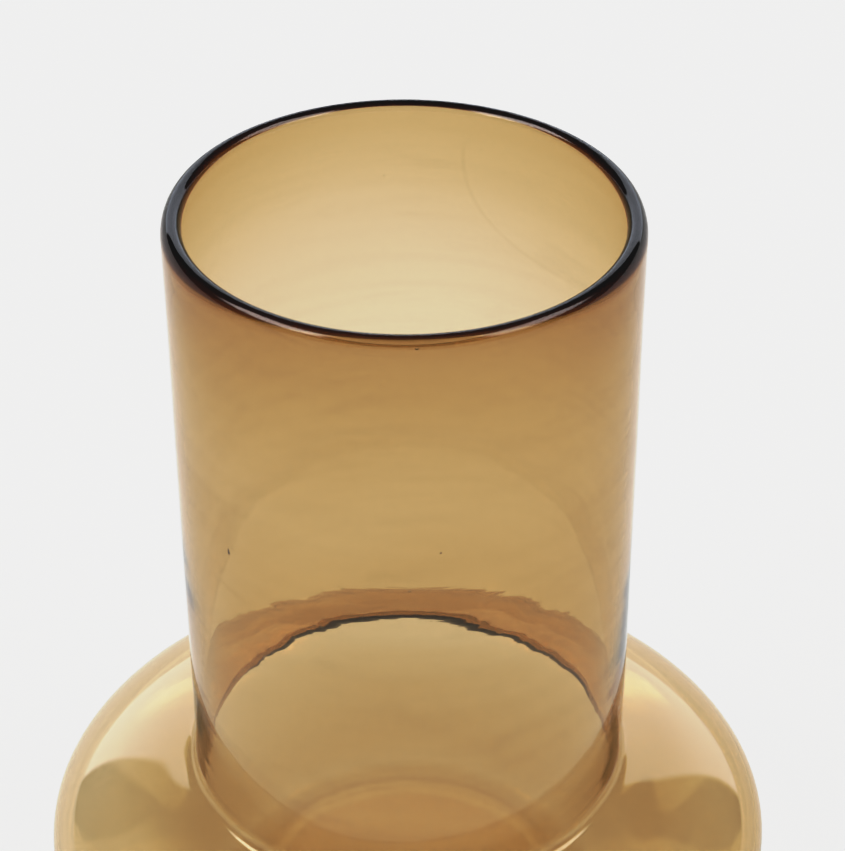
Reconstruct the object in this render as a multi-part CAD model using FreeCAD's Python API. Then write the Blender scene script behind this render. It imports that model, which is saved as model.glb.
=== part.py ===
import FreeCAD, Part
import os
import math

# Blown amber glass vase: a wide straight neck standing on a squat, lens-shaped body.
# The real vase is one piece of glass. It is built here as the zones in which the glass
# was worked: fire-polished rim, neck tube, jacked crease at the neck's foot, shoulder,
# lower bowl and thick base. Neighbouring zones meet face to face, fused all round.
# Units are millimetres, +Z is up, and the origin is the centre of the face the vase
# stands on.

os.makedirs("parts", exist_ok=True)

V = FreeCAD.Vector

# ---------------------------------------------------------------- driving dimensions
TOTAL_H = 192.0        # table to the top of the rim
NECK_R = 50.8          # outside radius of the neck at the rim
NECK_R_LOW = 50.1      # outside radius of the neck at its foot: it draws in very slightly
RIM_OUT_W, RIM_OUT_H = 2.45, 4.0    # outer half of the fire-polished roll: width, height
RIM_IN_W, RIM_IN_H = 2.05, 2.8      # inner half of the roll
RIM_ZONE_Z = 184.0     # lower edge of the thick rim
# wall thickness down the neck, as (height, thickness): thick under the rim, where the
# glass was gathered, then drawn thin
NECK_T = [(184.0, 4.3), (176.0, 3.9), (168.0, 3.4), (160.0, 3.05), (150.0, 2.7),
          (139.0, 2.5), (120.0, 2.45), (95.0, 2.55), (70.0, 2.7), (55.0, 2.7)]
CREASE_TOP_Z = 55.0    # lower end of the plain neck tube
CREASE_FILLET = 3.2    # outside radius of the hollow at the neck's foot
CREASE_END_R = 58.0    # where the crease has opened into the shoulder
BODY_R = 85.0          # widest radius of the body
BODY_MID_Z = 25.6      # height of the widest ring
BODY_HALF_H = 26.9     # half height that the full ellipse would have
CREASE_T = 2.7
SHOULDER_T = 1.9
BELLY_T = 1.6          # thinnest glass, at the widest ring
BASE_JOIN_R = 45.0     # where the bowl thickens into the base
BASE_JOIN_T = 2.4
FOOT_R = 38.0          # outer edge of the ring it stands on
PUNT_R = 33.0          # edge of the shallow hollow under the base
PUNT_DEPTH = 1.4
FLOOR_Z_MID = 5.4      # inside floor at the centre
FLOOR_Z_EDGE = 3.6     # inside floor near its edge
FLOOR_EDGE_R = 37.0


# ---------------------------------------------------------------- shape of the body
def body_h(r):
    """Half height of the squat body at radius r."""
    q = min(1.0, r / BODY_R)
    return BODY_HALF_H * math.sqrt(1.0 - q * q)


def body_point(a):
    """Point and outward normal on the body's ellipse at parameter a.
    a = 0 is the widest ring, a > 0 is above it and a < 0 is below it."""
    c, s = math.cos(a), math.sin(a)
    nr, nz = c / BODY_R, s / BODY_HALF_H
    ln = math.hypot(nr, nz)
    return BODY_R * c, BODY_MID_Z + BODY_HALF_H * s, nr / ln, nz / ln


def body_angle(r):
    return math.acos(r / BODY_R)


def smooth(a, b, x):
    x = min(1.0, max(0.0, x))
    w = x * x * (3.0 - 2.0 * x)
    return a + (b - a) * w


# The hollow crease: an arc that touches the neck and the shoulder.
slope = 0.0
for _ in range(30):
    touch_r = NECK_R_LOW + CREASE_FILLET * (1.0 - math.sin(slope))
    _r, touch_z, n_r, n_z = body_point(body_angle(touch_r))
    slope = math.atan2(n_r, n_z)
FC_R = NECK_R_LOW + CREASE_FILLET
FC_Z = touch_z + CREASE_FILLET * math.cos(slope)
CREASE_IN_R = CREASE_FILLET + CREASE_T     # inside radius of the same bend


# ---------------------------------------------------------------- drawing helpers
def pt(r, z):
    return V(r, 0.0, z)


def seg(a, b):
    return Part.makeLine(pt(*a), pt(*b))


def arc(a, m, b):
    return Part.Arc(pt(*a), pt(*m), pt(*b)).toShape()


def curve(points, t0=None, t1=None):
    """One smooth spline through the points, cut at each of them into edges, so that every
    face of the turned solid is a narrow, regular ring."""
    bs = Part.BSplineCurve()
    if t0 is not None and t1 is not None:
        bs.interpolate([pt(*p) for p in points],
                       InitialTangent=V(t0[0], 0, t0[1]),
                       FinalTangent=V(t1[0], 0, t1[1]))
    else:
        bs.interpolate([pt(*p) for p in points])
    knots = [bs.parameter(pt(*p)) for p in points]
    knots[0], knots[-1] = bs.FirstParameter, bs.LastParameter
    return [bs.toShape(knots[i], knots[i + 1]) for i in range(len(knots) - 1)]


def round_arc(centre, radius, deg0, deg1, n):
    """n equal tangent arcs round a centre, from deg0 to deg1."""
    cr, cz = centre
    edges = []
    for i in range(n):
        ang = [math.radians(deg0 + (deg1 - deg0) * (i + f) / n) for f in (0.0, 0.5, 1.0)]
        edges.append(arc(*[(cr + radius * math.cos(q), cz + radius * math.sin(q)) for q in ang]))
    return edges


def turn(edges):
    """Revolve a closed half section once round the vase's axis."""
    flat = []
    for e in edges:
        flat.extend(e if isinstance(e, list) else [e])
    wire = Part.Wire(flat)
    face = Part.Face(wire)
    solid = face.revolve(V(0, 0, 0), V(0, 0, 1), 360)
    if solid.ShapeType != "Solid":
        solid = solid.Solids[0]
    if solid.Volume < 0:
        solid.reverse()
    return solid


nodes = {}

# ---------------------------------------------------------------- rim
def neck_out(z):
    """Outside radius of the neck at height z."""
    return NECK_R_LOW + (NECK_R - NECK_R_LOW) * (z - CREASE_TOP_Z) / (RIM_ZONE_Z - CREASE_TOP_Z)


def quarter(cr, cz, w, h, deg0, deg1, n):
    """n + 1 points on an ellipse round (cr, cz)."""
    out = []
    for i in range(n + 1):
        q = math.radians(deg0 + (deg1 - deg0) * i / n)
        out.append((cr + w * math.cos(q), cz + h * math.sin(q)))
    return out


rim_c = NECK_R - RIM_OUT_W
rim_in_r = rim_c - RIM_IN_W
nodes["rim_bead"] = turn([
    seg((NECK_R, RIM_ZONE_Z), (NECK_R, TOTAL_H - RIM_OUT_H)),
    curve(quarter(rim_c, TOTAL_H - RIM_OUT_H, RIM_OUT_W, RIM_OUT_H, 0.0, 90.0, 5), (0, 1), (-1, 0)),
    curve(quarter(rim_c, TOTAL_H - RIM_IN_H, RIM_IN_W, RIM_IN_H, 90.0, 180.0, 5), (-1, 0), (0, -1)),
    seg((rim_in_r, TOTAL_H - RIM_IN_H), (rim_in_r, RIM_ZONE_Z)),
    seg((rim_in_r, RIM_ZONE_Z), (NECK_R, RIM_ZONE_Z)),
])

# ---------------------------------------------------------------- neck tube
neck_in = [(neck_out(z) - t, z) for z, t in NECK_T]
rim_in_low, neck_low_in = neck_in[0], neck_in[-1]
neck_low_out = (NECK_R_LOW, CREASE_TOP_Z)
nodes["neck_tube"] = turn([
    seg(neck_low_out, (NECK_R, RIM_ZONE_Z)),
    seg((NECK_R, RIM_ZONE_Z), rim_in_low),
    curve(neck_in),
    seg(neck_low_in, neck_low_out),
])


# ---------------------------------------------------------------- body skins
def belly_t(a):
    """Wall thickness on the body at parameter a."""
    if a >= 0:
        end = body_angle(touch_r)
        x = a / end
        if x < 0.6:
            return smooth(BELLY_T, SHOULDER_T, x / 0.6)
        return smooth(SHOULDER_T, CREASE_T, (x - 0.6) / 0.4)
    end = body_angle(BASE_JOIN_R)
    return smooth(BELLY_T, BASE_JOIN_T, (-a / end) ** 1.6)


def skin(a0, a1, n):
    outer, inner = [], []
    for i in range(n + 1):
        a = a0 + (a1 - a0) * i / n
        r, z, nr, nz = body_point(a)
        t = belly_t(a)
        outer.append((r, z))
        inner.append((r - t * nr, z - t * nz))
    return outer, inner


def tangent(points, at_end):
    if at_end:
        (r0, z0), (r1, z1) = points[-2], points[-1]
    else:
        (r0, z0), (r1, z1) = points[0], points[1]
    ln = math.hypot(r1 - r0, z1 - z0)
    return ((r1 - r0) / ln, (z1 - z0) / ln)


a_touch = body_angle(touch_r)
a_crease_end = body_angle(CREASE_END_R)
a_join = -body_angle(BASE_JOIN_R)

# ---------------------------------------------------------------- crease ring
out_s, in_s = skin(a_crease_end, a_touch, 3)
end_out = (touch_r, touch_z)
end_in = (FC_R - CREASE_IN_R * math.sin(slope), FC_Z - CREASE_IN_R * math.cos(slope))
in_s[-1] = end_in
nodes["crease_ring"] = turn([
    curve(out_s),
    round_arc((FC_R, FC_Z), CREASE_FILLET, 270.0 - math.degrees(slope), 180.0, 3),
    seg((NECK_R_LOW, FC_Z), neck_low_out),
    seg(neck_low_out, neck_low_in),
    seg(neck_low_in, (FC_R - CREASE_IN_R, FC_Z)),
    round_arc((FC_R, FC_Z), CREASE_IN_R, 180.0, 270.0 - math.degrees(slope), 4),
    curve(list(reversed(in_s))),
    seg(in_s[0], out_s[0]),
])

# ---------------------------------------------------------------- shoulder
out_d, in_d = skin(0.0, a_crease_end, 10)
in_d[-1] = in_s[0]
nodes["shoulder"] = turn([
    curve(out_d),
    seg(out_d[-1], in_d[-1]),
    curve(list(reversed(in_d))),
    seg(in_d[0], out_d[0]),
])

# ---------------------------------------------------------------- lower bowl
out_b, in_b = skin(0.0, a_join, 12)
nodes["lower_bowl"] = turn([
    curve(out_b),
    seg(out_b[-1], in_b[-1]),
    curve(list(reversed(in_b))),
    seg(in_b[0], out_b[0]),
])

# ---------------------------------------------------------------- base
join_out, join_in = out_b[-1], in_b[-1]
foot_pts = [join_out]
for r in (43.2, 41.4, 39.6):
    x = (r - FOOT_R) / (BASE_JOIN_R - FOOT_R)
    foot_pts.append((r, (BODY_MID_Z - body_h(r)) * x ** 0.6))
foot_pts.append((FOOT_R, 0.0))
PUNT_BALL = (PUNT_R ** 2 + PUNT_DEPTH ** 2) / (2.0 * PUNT_DEPTH)    # the hollow is part of a ball
punt_half = math.asin(PUNT_R / PUNT_BALL) / 2.0
nodes["base_pad"] = turn([
    curve(foot_pts),
    seg((FOOT_R, 0.0), (PUNT_R, 0.0)),
    arc((PUNT_R, 0.0),
        (PUNT_BALL * math.sin(punt_half), PUNT_DEPTH - PUNT_BALL * (1.0 - math.cos(punt_half))),
        (0.0, PUNT_DEPTH)),
    seg((0.0, PUNT_DEPTH), (0.0, FLOOR_Z_MID)),
    curve([(0.0, FLOOR_Z_MID), (FLOOR_EDGE_R * 0.5, FLOOR_Z_MID - 0.55),
           (FLOOR_EDGE_R, FLOOR_Z_EDGE + 0.35), join_in],
          (1, 0), tangent([(FLOOR_EDGE_R, FLOOR_Z_EDGE + 0.2), join_in], True)),
    seg(join_in, join_out),
])

# ---------------------------------------------------------------- write the solids
for name, solid in nodes.items():
    solid.exportStep("parts/%s.step" % name)
    bb = solid.BoundBox
    print(name, "valid" if solid.isValid() else "INVALID", "closed" if solid.isClosed() else "OPEN",
          "vol %.1f mm3" % solid.Volume,
          "r<=%.2f z %.2f..%.2f" % (bb.XMax, bb.ZMin, bb.ZMax))
names = list(nodes)
for i, a in enumerate(names):
    for b in names[i + 1:]:
        common = nodes[a].common(nodes[b]).Volume
        if common > 0.01:
            print("overlap", a, b, round(common, 3))
print("crease touches shoulder at r %.2f z %.2f slope %.1f deg" % (touch_r, touch_z, math.degrees(slope)))
print("join", join_out, join_in)
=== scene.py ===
import math
import bpy
import numpy as np
from mathutils import Matrix, Vector


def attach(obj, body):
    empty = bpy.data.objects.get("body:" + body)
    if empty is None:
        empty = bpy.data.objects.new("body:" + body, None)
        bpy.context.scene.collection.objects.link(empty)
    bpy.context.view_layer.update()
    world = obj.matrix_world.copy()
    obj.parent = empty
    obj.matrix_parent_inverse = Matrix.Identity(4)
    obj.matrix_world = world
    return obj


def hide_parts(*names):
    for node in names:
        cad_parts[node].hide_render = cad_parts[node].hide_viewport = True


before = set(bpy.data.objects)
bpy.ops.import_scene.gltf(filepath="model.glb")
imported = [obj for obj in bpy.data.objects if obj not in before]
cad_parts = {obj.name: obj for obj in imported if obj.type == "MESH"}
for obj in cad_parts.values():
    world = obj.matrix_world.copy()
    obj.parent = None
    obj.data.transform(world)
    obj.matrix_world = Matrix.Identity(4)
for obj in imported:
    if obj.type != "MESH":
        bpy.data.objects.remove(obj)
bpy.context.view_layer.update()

scene = bpy.context.scene
MM = 0.001

# ------------------------------------------------------------------ the glass's section
# All of these are the CAD model's own dimensions, in millimetres.
TOTAL_H = 192.0
NECK_R, NECK_R_LOW = 50.8, 50.1
RIM_OUT_W, RIM_OUT_H, RIM_IN_W, RIM_IN_H, RIM_ZONE_Z = 2.45, 4.0, 2.05, 2.8, 184.0
NECK_T = [(184.0, 4.3), (176.0, 3.9), (168.0, 3.4), (160.0, 3.05), (150.0, 2.7),
          (139.0, 2.5), (120.0, 2.45), (95.0, 2.55), (70.0, 2.7), (55.0, 2.7)]
CREASE_TOP_Z, CREASE_FILLET, CREASE_END_R, CREASE_T = 55.0, 3.2, 58.0, 2.7
BODY_R, BODY_MID_Z, BODY_HALF_H = 85.0, 25.6, 26.9
SHOULDER_T, BELLY_T = 1.9, 1.6
BASE_JOIN_R, BASE_JOIN_T = 45.0, 2.4
FOOT_R, PUNT_R, PUNT_DEPTH = 38.0, 33.0, 1.4
FLOOR_Z_MID, FLOOR_Z_EDGE, FLOOR_EDGE_R = 5.4, 3.6, 37.0


def body_point(a):
    c, s = math.cos(a), math.sin(a)
    nr, nz = c / BODY_R, s / BODY_HALF_H
    ln = math.hypot(nr, nz)
    return BODY_R * c, BODY_MID_Z + BODY_HALF_H * s, nr / ln, nz / ln


def body_angle(r):
    return math.acos(r / BODY_R)


def smooth(a, b, x):
    x = min(1.0, max(0.0, x))
    return a + (b - a) * x * x * (3.0 - 2.0 * x)


slope = 0.0
for _ in range(30):
    touch_r = NECK_R_LOW + CREASE_FILLET * (1.0 - math.sin(slope))
    _r, touch_z, n_r, n_z = body_point(body_angle(touch_r))
    slope = math.atan2(n_r, n_z)
FC_R = NECK_R_LOW + CREASE_FILLET
FC_Z = touch_z + CREASE_FILLET * math.cos(slope)
CREASE_IN_R = CREASE_FILLET + CREASE_T


def belly_t(a):
    if a >= 0:
        x = a / body_angle(touch_r)
        if x < 0.6:
            return smooth(BELLY_T, SHOULDER_T, x / 0.6)
        return smooth(SHOULDER_T, CREASE_T, (x - 0.6) / 0.4)
    return smooth(BELLY_T, BASE_JOIN_T, (-a / body_angle(BASE_JOIN_R)) ** 1.6)


def resample(points, step):
    """Points about step apart on a smooth curve through the given ones (Catmull-Rom)."""
    p = np.array(points, float)
    ext = np.vstack([2 * p[0] - p[1], p, 2 * p[-1] - p[-2]])
    out = [p[0]]
    for i in range(len(p) - 1):
        p0, p1, p2, p3 = ext[i:i + 4]
        n = max(1, int(round(np.linalg.norm(p2 - p1) / step)))
        for k in range(1, n + 1):
            t = k / n
            out.append(0.5 * ((2 * p1) + (p2 - p0) * t + (2 * p0 - 5 * p1 + 4 * p2 - p3) * t * t
                              + (3 * p1 - p0 - 3 * p2 + p3) * t ** 3))
    return [tuple(q) for q in out]


def skin(a0, a1, n):
    outer, inner = [], []
    for i in range(n + 1):
        a = a0 + (a1 - a0) * i / n
        r, z, nr, nz = body_point(a)
        t = belly_t(a)
        outer.append((r, z))
        inner.append((r - t * nr, z - t * nz))
    return outer, inner


def arc_pts(c, rad, d0, d1, n):
    return [(c[0] + rad * math.cos(math.radians(d0 + (d1 - d0) * i / n)),
             c[1] + rad * math.sin(math.radians(d0 + (d1 - d0) * i / n))) for i in range(n + 1)]


a_touch, a_end, a_join = body_angle(touch_r), body_angle(CREASE_END_R), -body_angle(BASE_JOIN_R)
bowl_o, bowl_i = skin(a_join, 0.0, 46)
dome_o, dome_i = skin(0.0, a_end, 34)
cr_o, cr_i = skin(a_end, a_touch, 10)

# outside, from the centre of the base up to the rim
ball = (PUNT_R ** 2 + PUNT_DEPTH ** 2) / (2 * PUNT_DEPTH)
punt = [(PUNT_R * i / 16, PUNT_DEPTH - ball + math.sqrt(ball ** 2 - (PUNT_R * i / 16) ** 2)) for i in range(16)]
punt[-1] = (PUNT_R * 15 / 16, punt[-1][1])
foot = [(PUNT_R - 0.5, 0.05), (PUNT_R + 0.4, 0.0), (FOOT_R - 1.6, 0.0)]
join_o = bowl_o[0]
for r in (37.4, 38.6, 40.0, 41.6, 43.2):
    x = (r - (FOOT_R - 2.0)) / (BASE_JOIN_R - FOOT_R + 2.0)
    foot.append((r, (BODY_MID_Z - BODY_HALF_H * math.sqrt(1 - (r / BODY_R) ** 2)) * x ** 1.1))
base_o = punt + resample(foot + [join_o], 0.6)
fillet_o = arc_pts((FC_R, FC_Z), CREASE_FILLET, 270.0 - math.degrees(slope), 180.0, 14)
neck_o = [(NECK_R_LOW, FC_Z + (CREASE_TOP_Z - FC_Z) * k / 5) for k in range(5)]
neck_o += [(NECK_R_LOW + (NECK_R - NECK_R_LOW) * k / 108, CREASE_TOP_Z + (RIM_ZONE_Z - CREASE_TOP_Z) * k / 108)
           for k in range(109)]
rim_c = NECK_R - RIM_OUT_W
rim_in_r = rim_c - RIM_IN_W


def quarter(cr, cz, w, h, d0, d1, n):
    return [(cr + w * math.cos(math.radians(d0 + (d1 - d0) * i / n)),
             cz + h * math.sin(math.radians(d0 + (d1 - d0) * i / n))) for i in range(n + 1)]


lip_o = resample([(NECK_R, RIM_ZONE_Z), (NECK_R, RIM_ZONE_Z + 1.8), (NECK_R, TOTAL_H - RIM_OUT_H)], 0.7)
bead = (quarter(rim_c, TOTAL_H - RIM_OUT_H, RIM_OUT_W, RIM_OUT_H, 0.0, 90.0, 18)
        + quarter(rim_c, TOTAL_H - RIM_IN_H, RIM_IN_W, RIM_IN_H, 90.0, 180.0, 18)[1:])
# inside, from the rim down to the centre of the floor


def neck_out(z):
    return NECK_R_LOW + (NECK_R - NECK_R_LOW) * (z - CREASE_TOP_Z) / (RIM_ZONE_Z - CREASE_TOP_Z)


rim_in = (neck_out(RIM_ZONE_Z) - NECK_T[0][1], RIM_ZONE_Z)
lip_i = resample([(rim_in_r, TOTAL_H - RIM_IN_H), (rim_in_r, RIM_ZONE_Z + 2.6), rim_in], 0.7)
neck_pts = [(neck_out(z) - t, z) for z, t in NECK_T]
neck_pts += [(FC_R - CREASE_IN_R, FC_Z)]
neck_i = resample(neck_pts, 1.2)
fillet_i = arc_pts((FC_R, FC_Z), CREASE_IN_R, 180.0, 270.0 - math.degrees(slope), 18)
join_i = bowl_i[0]
floor_i = resample([join_i, (FLOOR_EDGE_R + 3.4, FLOOR_Z_EDGE + 0.66), (FLOOR_EDGE_R, FLOOR_Z_EDGE + 0.3),
                    (FLOOR_EDGE_R * 0.5, FLOOR_Z_MID - 0.55), (0.0, FLOOR_Z_MID)], 1.5)

runs = [("base_pad", base_o), ("lower_bowl", bowl_o), ("shoulder", dome_o),
        ("crease_ring", cr_o + fillet_o[1:]), ("neck_tube", None), ("rim_bead", lip_o + bead[1:] + lip_i[1:]),
        ("neck_tube", None), ("crease_ring", None), ("shoulder", dome_i[::-1]), ("lower_bowl", bowl_i[::-1]),
        ("base_pad", floor_i)]
i_o = min(range(len(neck_o)), key=lambda k: abs(neck_o[k][1] - CREASE_TOP_Z))
i_i = min(range(len(neck_i)), key=lambda k: abs(neck_i[k][1] - CREASE_TOP_Z))
runs[3] = ("crease_ring", cr_o + fillet_o[1:] + neck_o[1:i_o + 1])
runs[4] = ("neck_tube", neck_o[i_o:])
runs[6] = ("neck_tube", neck_i[:i_i + 1])
runs[7] = ("crease_ring", neck_i[i_i:] + fillet_i[1:] + cr_i[::-1][1:])

profile, zone = [], []
for name, pts in runs:
    for q in pts:
        if profile and math.hypot(q[0] - profile[-1][0], q[1] - profile[-1][1]) < 1e-6:
            continue
        profile.append(q)
        zone.append(name)
profile = np.array(profile)
NP_ = len(profile)
d = np.gradient(profile, axis=0)
tan = d / np.linalg.norm(d, axis=1, keepdims=True)
nrm = np.stack([tan[:, 1], -tan[:, 0]], 1)          # outward: to the right of the way up
nrm[0] = (0, -1)
nrm[-1] = (0, 1)
outer_side = np.zeros(NP_, bool)
top = int(np.argmax(profile[:, 1]))
outer_side[:top + 1] = True

# ------------------------------------------------------------------ the turned surface
SEG = 320
phi = np.arange(SEG) * 2 * math.pi / SEG


def waves(seed, s, terms, f_s, f_p):
    """A smooth random height, in -1..1, over profile length s (mm) and angle."""
    rng = np.random.default_rng(seed)
    out = np.zeros((len(s), SEG))
    for _ in range(terms):
        k = int(rng.integers(0, f_p + 1))
        f = rng.uniform(0.15, 1.0) / f_s
        out += (np.cos(2 * math.pi * f * s[:, None] + rng.uniform(0, 6.283))
                * np.cos(k * phi[None, :] + rng.uniform(0, 6.283)))
    return out / math.sqrt(terms)


s_len = np.concatenate([[0], np.cumsum(np.linalg.norm(np.diff(profile, axis=0), axis=1))])
z_p, r_p = profile[:, 1], profile[:, 0]


def window(x, a, b, soft):
    u = np.clip((x - a) / soft, 0, 1) * np.clip((b - x) / soft, 0, 1)
    return u * u * (3 - 2 * u)


calm = window(r_p, 40.0, 1e3, 14.0) * window(z_p, -1e3, TOTAL_H - 2.0, 6.0)   # still at the foot and the rim
amp_neck = 0.09 * calm * window(z_p, 56.0, 1e3, 10.0)
amp_body = 0.16 * calm * window(z_p, -1e3, 46.0, 8.0)
w_out = waves(11, s_len, 26, 46.0, 5)
w_in = waves(23, s_len, 26, 40.0, 6)
w = np.where(outer_side[:, None], w_out, w_in)
disp = (amp_neck + amp_body)[:, None] * w
# faint level bands left on the inside by blowing and turning
bands = waves(37, s_len, 18, 6.5, 2)
disp += (0.030 * calm * window(z_p, 62.0, 182.0, 14.0) * ~outer_side)[:, None] * bands
# blown glass is never even: the wall is a little thicker at the front and on the right
az = phi + math.pi / 2                                   # 0 at the front, +90 degrees on the right
inside = ~outer_side
thick_neck = (0.10 * np.sin(az) - 0.06)[None, :] * window(z_p, 60.0, 190.0, 16.0)[:, None]
thick_neck = thick_neck + (0.20 * np.cos(az))[None, :] * window(z_p, 60.0, 150.0, 22.0)[:, None]
thick_body = ((0.13 * np.sin(az) + 0.26 * np.maximum(0.0, np.sin(az)) ** 2)[None, :]
              * (window(z_p, 5.0, 46.0, 5.0) * window(r_p, 52.0, 1e3, 8.0))[:, None])
thick_body = thick_body + 0.28 * (window(z_p, -1.0, 20.0, 5.0) * window(r_p, 43.0, 80.0, 8.0))[:, None]
disp += (thick_neck + thick_body) * inside[:, None]
# the bead and the neck are not quite round, and the crease rides up and down a little
oval = 0.10 * np.cos(2 * phi + 0.7)[None, :] * window(z_p, 50.0, 1e3, 30.0)[:, None]
near_crease = np.exp(-((z_p - 47.0) / 6.5) ** 2) * np.exp(-((r_p - 51.0) / 6.0) ** 2)
crease_wave = (0.50 * np.cos(3 * phi + 1.1) + 0.36 * np.cos(5 * phi + 4.0) + 0.22 * np.cos(8 * phi + 2.2)
               + 0.12 * np.cos(12 * phi + 0.3) + 0.05 * np.cos(17 * phi + 5.1))
R = r_p[:, None] + nrm[:, 0:1] * disp + oval * (r_p[:, None] / 50.0)
Z = z_p[:, None] + nrm[:, 1:2] * disp + near_crease[:, None] * crease_wave[None, :] * 0.8
# the lip was flashed a touch out of level: low at the front right, high at the back left
lip_low = math.radians(35.0)
Z += window(z_p, 120.0, 1e3, 60.0)[:, None] * (-0.30 - 0.55 * np.cos(phi + math.pi / 2 - lip_low))[None, :]
Z = np.maximum(Z, 0.0)
R[0] = R[-1] = 0.0
lean_x = 0.38 * window(z_p, 45.0, 1e3, 12.0)          # the neck stands a hair off the body's centre
P = np.stack([R * np.cos(phi)[None, :] + lean_x[:, None], R * np.sin(phi)[None, :], Z], 2) * MM

# ------------------------------------------------------------------ one closed mesh
verts = [P[0].mean(0)]
for i in range(1, NP_ - 1):
    verts.extend(P[i])
verts.append(P[-1].mean(0))
last = len(verts) - 1
faces = []
for j in range(SEG):
    k = (j + 1) % SEG
    faces.append((0, 1 + k, 1 + j))
for i in range(NP_ - 3):
    a0, b0 = 1 + i * SEG, 1 + (i + 1) * SEG
    for j in range(SEG):
        k = (j + 1) % SEG
        faces.append((a0 + j, a0 + k, b0 + k, b0 + j))
a0 = 1 + (NP_ - 3) * SEG
for j in range(SEG):
    k = (j + 1) % SEG
    faces.append((a0 + j, a0 + k, last))
# seeds: tiny drawn-out bubbles shut in the wall, each a closed skin facing inward
SEEDS = [(-48.9, 128.1, 0.20, 0.34, 0.72), (7.8, 139.5, 0.16, 0.20, 0.20), (0.4, 130.0, 0.18, 0.28, 0.28),
         (2.5, 189.2, 0.12, 0.40, 0.22), (-5.8, 180.5, 0.09, 0.12, 0.12)]
for ang, zc, hr, ha, hz in SEEDS:              # angle round from the front, height, half sizes (mm)
    q = math.radians(ang)
    if zc > 186.0:
        t_here = RIM_OUT_W + RIM_IN_W
    else:
        t_here = float(np.interp(zc, [p[0] for p in NECK_T][::-1], [p[1] for p in NECK_T][::-1]))
    rc = NECK_R - 0.95 if zc > 186.0 else neck_out(min(zc, RIM_ZONE_Z)) - t_here * 0.5
    er = (math.sin(q), -math.cos(q), 0.0)
    ea = (math.cos(q), math.sin(q), 0.0)
    ring_n, seg_n = 7, 12
    base_i = len(verts)
    rows = []
    for i in range(ring_n + 1):
        th = math.pi * i / ring_n
        row = []
        for j in range(1 if i in (0, ring_n) else seg_n):
            ps = 2 * math.pi * j / seg_n
            a, b, c = math.sin(th) * math.cos(ps) * hr, math.sin(th) * math.sin(ps) * ha, math.cos(th) * hz
            verts.append((((rc + a) * er[0] + b * ea[0] + 0.38) * MM, (rc + a) * er[1] * MM + b * ea[1] * MM, (zc + c) * MM))
            row.append(len(verts) - 1)
        rows.append(row)
    for i in range(ring_n):
        for j in range(seg_n):
            k = (j + 1) % seg_n
            u, v = rows[i], rows[i + 1]
            if len(u) == 1:
                faces.append((u[0], v[k], v[j]))
            elif len(v) == 1:
                faces.append((u[j], u[k], v[0]))
            else:
                faces.append((u[j], u[k], v[k], v[j]))
me = bpy.data.meshes.new("vase_glass")
me.from_pydata([tuple(v) for v in verts], [], faces)
me.validate()
vase = bpy.data.objects.new("vase_glass", me)
scene.collection.objects.link(vase)
me.polygons.foreach_set("use_smooth", [True] * len(me.polygons))

# ------------------------------------------------------------------ glass
glass = bpy.data.materials.new("amber_glass")
glass.use_nodes = True
nt = glass.node_tree
nt.nodes.clear()


def node(kind, **kw):
    n = nt.nodes.new(kind)
    for k, v in kw.items():
        setattr(n, k, v)
    return n


out = node("ShaderNodeOutputMaterial")
bsdf = node("ShaderNodeBsdfPrincipled")
bsdf.inputs["Base Color"].default_value = (1, 1, 1, 1)
bsdf.inputs["Transmission Weight"].default_value = 1.0
bsdf.inputs["Roughness"].default_value = 0.0
bsdf.inputs["IOR"].default_value = 1.52
absb = node("ShaderNodeVolumeAbsorption")
absb.inputs["Color"].default_value = (0.718, 0.5455, 0.188, 1)
absb.inputs["Density"].default_value = 330.0
nt.links.new(bsdf.outputs[0], out.inputs["Surface"])
nt.links.new(absb.outputs[0], out.inputs["Volume"])


def noise(scale, detail, rough, vec, dist=0.0):
    n = node("ShaderNodeTexNoise")
    n.inputs["Scale"].default_value = scale
    n.inputs["Detail"].default_value = detail
    n.inputs["Roughness"].default_value = rough
    n.inputs["Distortion"].default_value = dist
    nt.links.new(vec, n.inputs["Vector"])
    return n.outputs["Fac"]


def m(op, a, b=None, c=None, clamp=False):
    n = node("ShaderNodeMath", operation=op, use_clamp=clamp)
    for i, x in enumerate((a, b, c)):
        if isinstance(x, (int, float)):
            n.inputs[i].default_value = x
        elif x is not None:
            nt.links.new(x, n.inputs[i])
    return n.outputs[0]


def step_map(x, lo, hi, to_lo, to_hi):
    n = node("ShaderNodeMapRange", interpolation_type="SMOOTHSTEP")
    n.inputs["From Min"].default_value = lo
    n.inputs["From Max"].default_value = hi
    n.inputs["To Min"].default_value = to_lo
    n.inputs["To Max"].default_value = to_hi
    nt.links.new(x, n.inputs["Value"])
    return n.outputs[0]


def scaled(sx, sy, sz):
    mp = node("ShaderNodeMapping")
    mp.inputs["Scale"].default_value = (sx, sy, sz)
    nt.links.new(coord.outputs["Object"], mp.inputs["Vector"])
    return mp.outputs[0]


coord = node("ShaderNodeTexCoord")
xyz = node("ShaderNodeSeparateXYZ")
nt.links.new(coord.outputs["Object"], xyz.inputs[0])
PX, PY, PZ = xyz.outputs
# wiping smears and finger marks: soft patches that are a little less clear
smear = noise(40.0, 3.0, 0.62, scaled(0.6, 0.6, 2.4), 1.0)
patch = step_map(smear, 0.56, 0.74, 0.0, 1.0)
# fine dust and pits
grain = noise(1500.0, 2.0, 0.5, scaled(1.0, 1.0, 1.0))
speck = step_map(grain, 0.735, 0.77, 0.0, 1.0)
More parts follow.
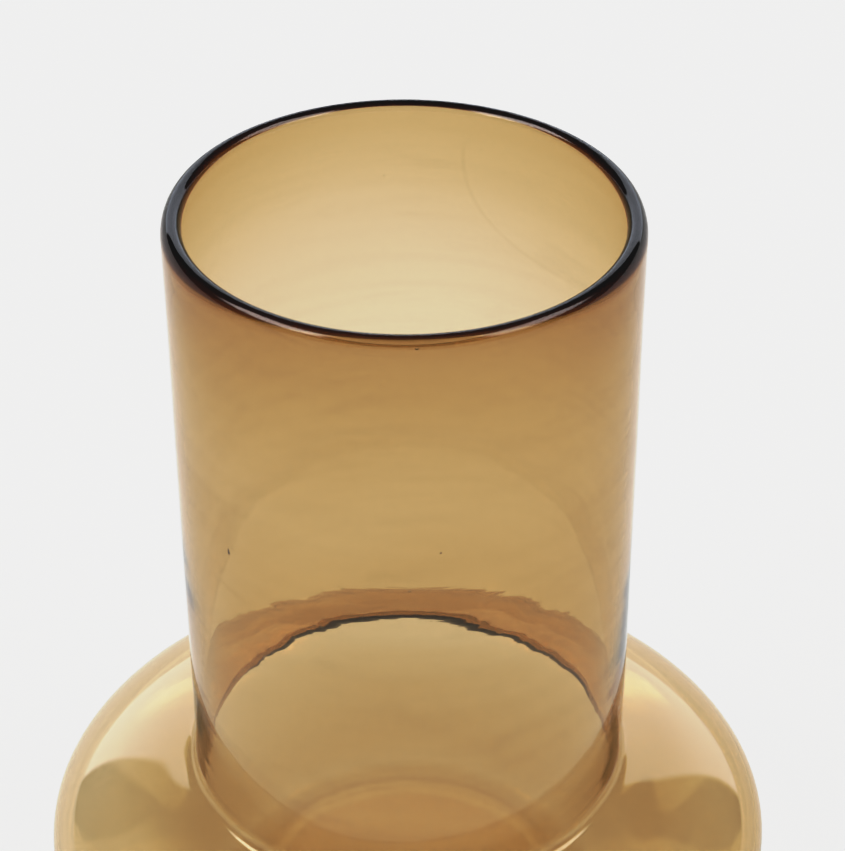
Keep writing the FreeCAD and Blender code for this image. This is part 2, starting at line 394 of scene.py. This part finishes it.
# a shallow tool scratch round the neck, tipped a little
ring_z = m("ADD", 0.1436, m("MULTIPLY", PX, 0.012))
ring_d = m("ABSOLUTE", m("SUBTRACT", PZ, ring_z))
broken = noise(60.0, 3.0, 0.6, scaled(1.0, 1.0, 0.2))
scratch = m("MULTIPLY", step_map(ring_d, 0.00008, 0.00022, 0.35, 0.0), step_map(broken, 0.40, 0.60, 0.0, 1.0))
# a drawn cord of slightly different glass, curling down the inside of the back wall
cord_r = m("SQRT", m("ADD", m("POWER", m("SUBTRACT", PX, 0.0381), 2.0), m("POWER", m("SUBTRACT", PZ, 0.1797), 2.0)))
cord_d = m("ABSOLUTE", m("SUBTRACT", cord_r, 0.0245))
wall_r = m("SQRT", m("ADD", m("MULTIPLY", PX, PX), m("MULTIPLY", PY, PY)))
cord = m("MULTIPLY", step_map(cord_d, 0.0001, 0.0008, 1.0, 0.0), step_map(PX, 0.034, 0.038, 1.0, 0.0))
cord = m("MULTIPLY", cord, m("MULTIPLY", step_map(PZ, 0.180, 0.185, 1.0, 0.0), step_map(wall_r, 0.0488, 0.0496, 1.0, 0.0)))
cord = m("MULTIPLY", cord, m("MULTIPLY", m("GREATER_THAN", PY, 0.0), step_map(broken, 0.30, 0.50, 0.3, 1.0)))
rough = m("ADD", m("MULTIPLY", patch, 0.008), m("MULTIPLY", speck, 0.22))
rough = m("ADD", rough, m("MULTIPLY", scratch, 0.20))
nt.links.new(m("MINIMUM", rough, 0.5), bsdf.inputs["Roughness"])
# faint level streaks on the neck, with the specks, smears and cord above, dim the glass's colour a little
streak = step_map(noise(70.0, 3.0, 0.55, scaled(0.30, 0.30, 4.2), 0.4), 0.42, 0.70, 0.0, 1.0)
streak = m("MULTIPLY", streak, m("MULTIPLY", step_map(PZ, 0.060, 0.080, 0.0, 1.0), step_map(PZ, 0.180, 0.186, 1.0, 0.0)))
tint = node("ShaderNodeMix", data_type="RGBA")
tint.inputs["A"].default_value = (1.0, 1.0, 1.0, 1)
tint.inputs["B"].default_value = (0.80, 0.78, 0.74, 1)
nt.links.new(m("ADD", m("ADD", speck, m("MULTIPLY", cord, 0.22)),
               m("ADD", m("MULTIPLY", patch, 0.16), m("MULTIPLY", streak, 0.10)), clamp=True), tint.inputs["Factor"])
nt.links.new(tint.outputs["Result"], bsdf.inputs["Base Color"])
# the skin itself: long level ripples, a slow roll, and the marks above
ripple = noise(90.0, 3.0, 0.5, scaled(0.35, 0.35, 2.6), 0.3)
roll_ = noise(26.0, 2.0, 0.5, scaled(1.0, 1.0, 1.4))
height = m("ADD", m("MULTIPLY", ripple, 0.35), m("MULTIPLY", roll_, 1.0))
height = m("ADD", height, m("MULTIPLY", scratch, -0.30))
height = m("ADD", height, m("MULTIPLY", cord, 0.55))
bump = node("ShaderNodeBump")
bump.inputs["Strength"].default_value = 1.0
bump.inputs["Distance"].default_value = 0.00005
nt.links.new(height, bump.inputs["Height"])
nt.links.new(bump.outputs[0], bsdf.inputs["Normal"])
me.materials.append(glass)
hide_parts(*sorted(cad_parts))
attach(vase, "root")

# ------------------------------------------------------------------ stage
floor_me = bpy.data.meshes.new("floor")
S = 4.0
floor_me.from_pydata([(-S, -S, 0), (S, -S, 0), (S, S, 0), (-S, S, 0)], [], [(0, 1, 2, 3)])
floor = bpy.data.objects.new("floor", floor_me)
scene.collection.objects.link(floor)
fm = bpy.data.materials.new("pale_floor")
fm.use_nodes = True
fb = fm.node_tree.nodes["Principled BSDF"]
fb.inputs["Base Color"].default_value = (0.13, 0.13, 0.129, 1)
fb.inputs["Emission Color"].default_value = (1.0, 1.0, 0.99, 1)
fb.inputs["Emission Strength"].default_value = 0.79
fb.inputs["Roughness"].default_value = 1.0
fb.inputs["Specular IOR Level"].default_value = 0.0
floor_me.materials.append(fm)

# ------------------------------------------------------------------ light: a room round the table
world = bpy.data.worlds.new("studio")
scene.world = world
world.use_nodes = True
wt = world.node_tree
wt.nodes.clear()


def wn(kind, **kw):
    n = wt.nodes.new(kind)
    for k, v in kw.items():
        setattr(n, k, v)
    return n


def wmath(op, a, b=None, c=None):
    n = wn("ShaderNodeMath", operation=op)
    for i, x in enumerate((a, b, c)):
        if x is None:
            continue
        if isinstance(x, (int, float)):
            n.inputs[i].default_value = x
        else:
            wt.links.new(x, n.inputs[i])
    return n.outputs[0]


def ramp(x, lo, hi):
    n = wn("ShaderNodeMapRange", interpolation_type="SMOOTHSTEP")
    n.inputs["From Min"].default_value = min(lo, hi)
    n.inputs["From Max"].default_value = max(lo, hi)
    n.inputs["To Min"].default_value = 0.0 if lo < hi else 1.0
    n.inputs["To Max"].default_value = 1.0 if lo < hi else 0.0
    wt.links.new(x, n.inputs["Value"])
    return n.outputs[0]


tc = wn("ShaderNodeTexCoord")
sep = wn("ShaderNodeSeparateXYZ")
wt.links.new(tc.outputs["Generated"], sep.inputs[0])
DX, DY, DZ = sep.outputs
el = wmath("MULTIPLY", wmath("ARCSINE", DZ), 57.29578)
az = wmath("MULTIPLY", wmath("ARCTAN2", DX, wmath("MULTIPLY", DY, -1.0)), 57.29578)  # 0 front, +90 right
aaz = wmath("ABSOLUTE", az)


def box(a0, a1, e0, e1, soft_a, soft_e):
    m = wmath("MULTIPLY", ramp(az, a0 - soft_a, a0 + soft_a), ramp(az, a1 + soft_a, a1 - soft_a))
    k = wmath("MULTIPLY", ramp(el, e0 - soft_e, e0 + soft_e), ramp(el, e1 + soft_e, e1 - soft_e))
    return wmath("MULTIPLY", m, k)


total = wmath("MULTIPLY", ramp(el, 7.5, 6.0), 0.84)                       # pale round the horizon
total = wmath("ADD", total, 0.04)
# white sheet behind, its sides leaning in as they rise
side = wmath("MULTIPLY", ramp(az, -1.0, 1.0), -5.0)          # the sheet reaches further round on the right
lean = wmath("ADD", wmath("ADD", 136.0, side), wmath("MULTIPLY", wmath("MAXIMUM", el, 0.0), 0.40))
behind = wmath("MULTIPLY", ramp(wmath("SUBTRACT", aaz, lean), -1.0, 1.0),
               wmath("MULTIPLY", ramp(el, 6.0, 7.5), ramp(el, 46.0, 38.0)))
total = wmath("ADD", total, wmath("MULTIPLY", behind, 1.9))
total = wmath("ADD", total, wmath("MULTIPLY", box(-98.0, -42.0, 31.0, 54.0, 6.0, 5.0), 7.0))
total = wmath("ADD", total, wmath("MULTIPLY", box(42.0, 98.0, 30.0, 56.0, 6.0, 5.0), 5.0))
bg = wn("ShaderNodeBackground")
tone_mix = wn("ShaderNodeMix", data_type="RGBA")                 # the sheet is a cooler white
tone_mix.inputs["A"].default_value = (1.0, 1.0, 0.99, 1)
tone_mix.inputs["B"].default_value = (0.96, 1.0, 1.10, 1)
wt.links.new(behind, tone_mix.inputs["Factor"])
wt.links.new(tone_mix.outputs["Result"], bg.inputs["Color"])
wt.links.new(total, bg.inputs["Strength"])
wo = wn("ShaderNodeOutputWorld")
wt.links.new(bg.outputs[0], wo.inputs[0])
world.cycles.sampling_method = "MANUAL"
world.cycles.sample_map_resolution = 512

# ------------------------------------------------------------------ camera
U = 50.0 * MM
pitch, yaw, roll = math.radians(34.1170), math.radians(0.4485), math.radians(-0.2814)
fwd = Vector((math.sin(yaw) * math.cos(pitch), math.cos(yaw) * math.cos(pitch), -math.sin(pitch)))
right = Vector((math.cos(yaw), -math.sin(yaw), 0.0))
up = right.cross(fwd)
r2 = math.cos(roll) * right + math.sin(roll) * up
u2 = -math.sin(roll) * right + math.cos(roll) * up
cam_data = bpy.data.cameras.new("camera")
cam = bpy.data.objects.new("camera", cam_data)
scene.collection.objects.link(cam)
cam.matrix_world = Matrix((
    (r2.x, u2.x, -fwd.x, 0.0),
    (r2.y, u2.y, -fwd.y, -10.1060 * U),
    (r2.z, u2.z, -fwd.z, TOTAL_H * MM + 5.7561 * U),
    (0, 0, 0, 1)))
cam_data.sensor_width = 36.0
cam_data.lens = 2789.04 * 36.0 / 851.0
cam_data.clip_start, cam_data.clip_end = 0.01, 50.0
scene.camera = cam

scene.view_settings.view_transform = "Standard"
scene.view_settings.look = "None"
# a photographic tone curve: soft shoulder in the whites, firm mid tones
vs = scene.view_settings
vs.use_curve_mapping = True
cmap = vs.curve_mapping
cmap.white_level = (2.0, 2.0, 2.0)
cmap.black_level = (0.0, 0.0, 0.0)
cmap.extend = "HORIZONTAL"
tone = [(0.0, 0.006), (0.05, 0.021), (0.12, 0.054), (0.223, 0.122), (0.396, 0.319), (0.545, 0.521), (0.72, 0.765),
        (0.85, 0.840), (1.0, 0.887), (1.4, 0.955), (2.0, 1.0)]
crv = cmap.curves[3]
crv.points[0].location = (tone[0][0] / 2.0, tone[0][1])
crv.points[1].location = (tone[-1][0] / 2.0, tone[-1][1])
for x, y in tone[1:-1]:
    crv.points.new(x / 2.0, y)
cmap.update()
scene.cycles.max_bounces = 32
scene.cycles.transmission_bounces = 32
scene.cycles.glossy_bounces = 12
scene.cycles.diffuse_bounces = 4
scene.cycles.transparent_max_bounces = 32
scene.cycles.caustics_reflective = True
scene.cycles.caustics_refractive = True
scene.cycles.blur_glossy = 0.0
